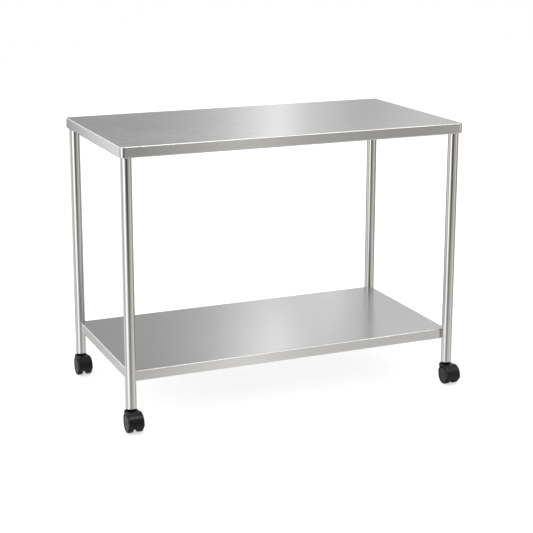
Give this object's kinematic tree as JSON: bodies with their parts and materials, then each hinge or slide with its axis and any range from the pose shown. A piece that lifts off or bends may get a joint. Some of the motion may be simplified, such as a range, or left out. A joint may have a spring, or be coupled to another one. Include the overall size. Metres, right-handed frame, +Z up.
{
  "type": "wheeled side table",
  "caption": "Rectangular stainless steel side table with a folded top, a lower shelf, round tube legs and small twin-wheel swivel casters.",
  "frame": {"origin": "on the floor, at the middle of the whole footprint with the casters as stored; the middle of the table itself is 12.5 mm behind it", "axes": "+X along the length, +Y to the back, +Z up; the front is -Y"},
  "size_m": [0.854, 0.475, 0.65],
  "materials": {
    "sheet_steel": "brushed along the length",
    "tube_steel": "fine satin, polished round the tube",
    "hidden_steel": "plain mill finish",
    "black_plastic": "semi-matt moulded",
    "wheel_tread": "matt",
    "wheel_disc": "satin moulded"
  },
  "bodies": {
    "table": {"top_panel": "sheet_steel", "top_stiffener": "hidden_steel", "shelf_panel": "sheet_steel", "shelf_stiffener": "hidden_steel", "shelf_welds": "hidden_steel", "plate_fl": "hidden_steel", "plate_fr": "hidden_steel", "plate_bl": "hidden_steel", "plate_br": "hidden_steel", "leg_fl": "tube_steel", "leg_fr": "tube_steel", "leg_bl": "tube_steel", "leg_br": "tube_steel", "plug_fl": "black_plastic", "plug_fr": "black_plastic", "plug_bl": "black_plastic", "plug_br": "black_plastic", "stem_fl": "hidden_steel", "stem_fr": "hidden_steel", "stem_bl": "hidden_steel", "stem_br": "hidden_steel"},
    "caster_fl": {"hood_fl": "black_plastic", "axle_fl": "hidden_steel"},
    "roll_fl_l": {"wheel_fl_l": "wheel_tread", "cap_fl_l": "wheel_disc"},
    "roll_fl_r": {"wheel_fl_r": "wheel_tread", "cap_fl_r": "wheel_disc"},
    "caster_fr": {"hood_fr": "black_plastic", "axle_fr": "hidden_steel"},
    "roll_fr_l": {"wheel_fr_l": "wheel_tread", "cap_fr_l": "wheel_disc"},
    "roll_fr_r": {"wheel_fr_r": "wheel_tread", "cap_fr_r": "wheel_disc"},
    "caster_bl": {"hood_bl": "black_plastic", "axle_bl": "hidden_steel"},
    "roll_bl_l": {"wheel_bl_l": "wheel_tread", "cap_bl_l": "wheel_disc"},
    "roll_bl_r": {"wheel_bl_r": "wheel_tread", "cap_bl_r": "wheel_disc"},
    "caster_br": {"hood_br": "black_plastic", "axle_br": "hidden_steel"},
    "roll_br_l": {"wheel_br_l": "wheel_tread", "cap_br_l": "wheel_disc"},
    "roll_br_r": {"wheel_br_r": "wheel_tread", "cap_br_r": "wheel_disc"}
  },
  "joints": [
    {"name": "swivel_fl", "type": "hinge", "parent": "table", "child": "caster_fl", "pos_m": [-0.408, -0.1955, 0.045], "axis": [0, 0, 1], "continuous": true},
    {"name": "roll_fl_l", "type": "hinge", "parent": "caster_fl", "child": "roll_fl_l", "pos_m": [-0.408, -0.2115, 0.0215], "axis": [1, 0, 0], "continuous": true},
    {"name": "roll_fl_r", "type": "hinge", "parent": "caster_fl", "child": "roll_fl_r", "pos_m": [-0.408, -0.2115, 0.0215], "axis": [1, 0, 0], "continuous": true},
    {"name": "swivel_fr", "type": "hinge", "parent": "table", "child": "caster_fr", "pos_m": [0.408, -0.1955, 0.045], "axis": [0, 0, 1], "continuous": true},
    {"name": "roll_fr_l", "type": "hinge", "parent": "caster_fr", "child": "roll_fr_l", "pos_m": [0.408, -0.2115, 0.0215], "axis": [1, 0, 0], "continuous": true},
    {"name": "roll_fr_r", "type": "hinge", "parent": "caster_fr", "child": "roll_fr_r", "pos_m": [0.408, -0.2115, 0.0215], "axis": [1, 0, 0], "continuous": true},
    {"name": "swivel_bl", "type": "hinge", "parent": "table", "child": "caster_bl", "pos_m": [-0.408, 0.2205, 0.045], "axis": [0, 0, 1], "continuous": true},
    {"name": "roll_bl_l", "type": "hinge", "parent": "caster_bl", "child": "roll_bl_l", "pos_m": [-0.408, 0.2045, 0.0215], "axis": [1, 0, 0], "continuous": true},
    {"name": "roll_bl_r", "type": "hinge", "parent": "caster_bl", "child": "roll_bl_r", "pos_m": [-0.408, 0.2045, 0.0215], "axis": [1, 0, 0], "continuous": true},
    {"name": "swivel_br", "type": "hinge", "parent": "table", "child": "caster_br", "pos_m": [0.408, 0.2205, 0.045], "axis": [0, 0, 1], "continuous": true},
    {"name": "roll_br_l", "type": "hinge", "parent": "caster_br", "child": "roll_br_l", "pos_m": [0.408, 0.2045, 0.0215], "axis": [1, 0, 0], "continuous": true},
    {"name": "roll_br_r", "type": "hinge", "parent": "caster_br", "child": "roll_br_r", "pos_m": [0.408, 0.2045, 0.0215], "axis": [1, 0, 0], "continuous": true}
  ]
}
